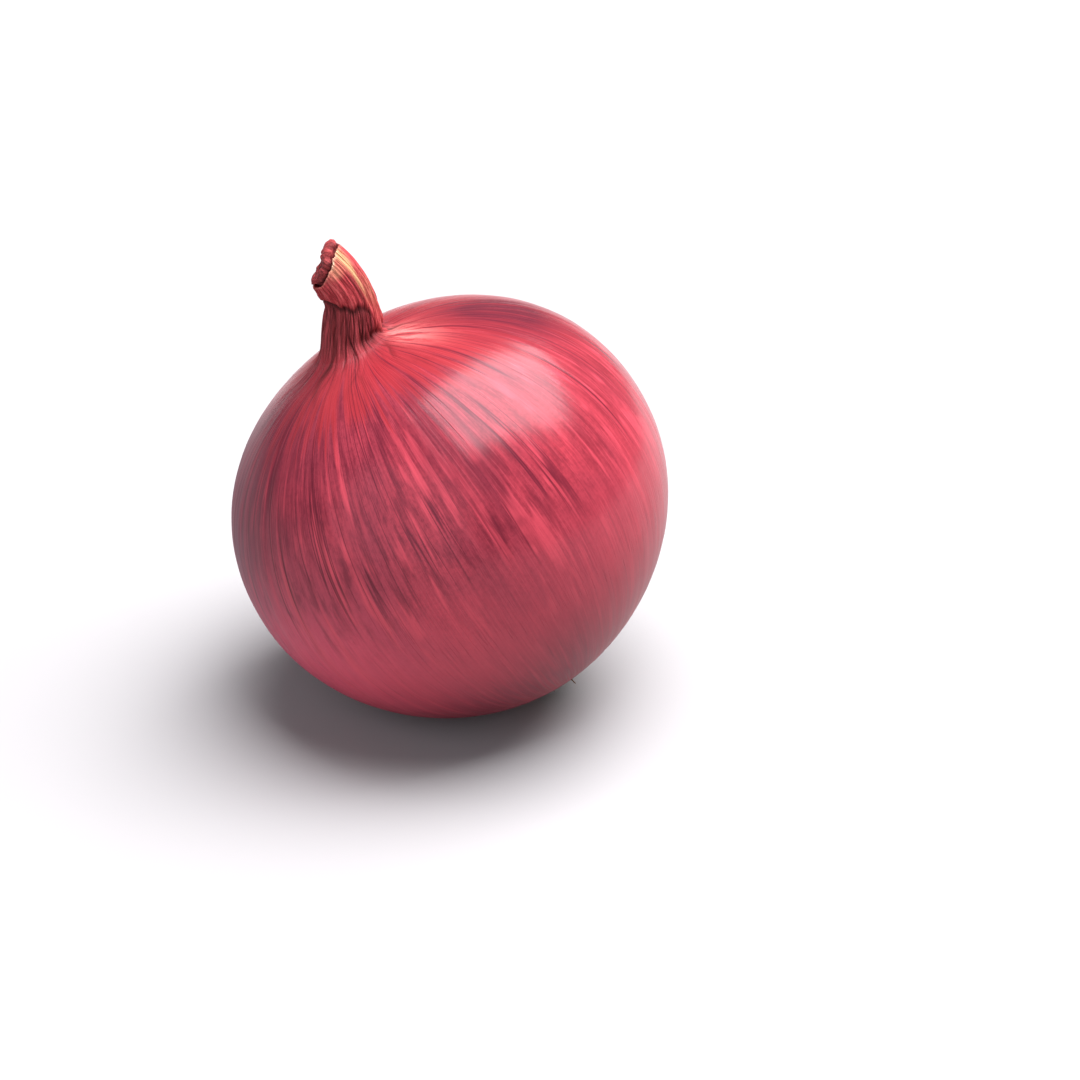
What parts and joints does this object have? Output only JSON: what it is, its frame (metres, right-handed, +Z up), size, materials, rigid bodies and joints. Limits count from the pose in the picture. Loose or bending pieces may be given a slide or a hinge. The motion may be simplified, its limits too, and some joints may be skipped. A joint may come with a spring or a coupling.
{
  "type": "red onion",
  "caption": "Whole red onion with papery skin, a short dried neck and a tuft of dried roots, resting on its lower flank.",
  "frame": {"origin": "middle of the flattened spot of skin that the onion rests on", "axes": "+Z up from the surface that it rests on; the neck leans towards -X and the root end faces down towards +X, so -Y and +Y are its two broad sides"},
  "size_m": [0.0789, 0.08, 0.0889],
  "materials": {
    "dry_skin": "satin papery skin, crimson to plum, with paler streaks and fine veins from neck to root",
    "dry_roots": "matt dried root fibres"
  },
  "bodies": {
    "root": {"bulb": "dry_skin", "root_tuft": "dry_roots"}
  },
  "joints": []
}
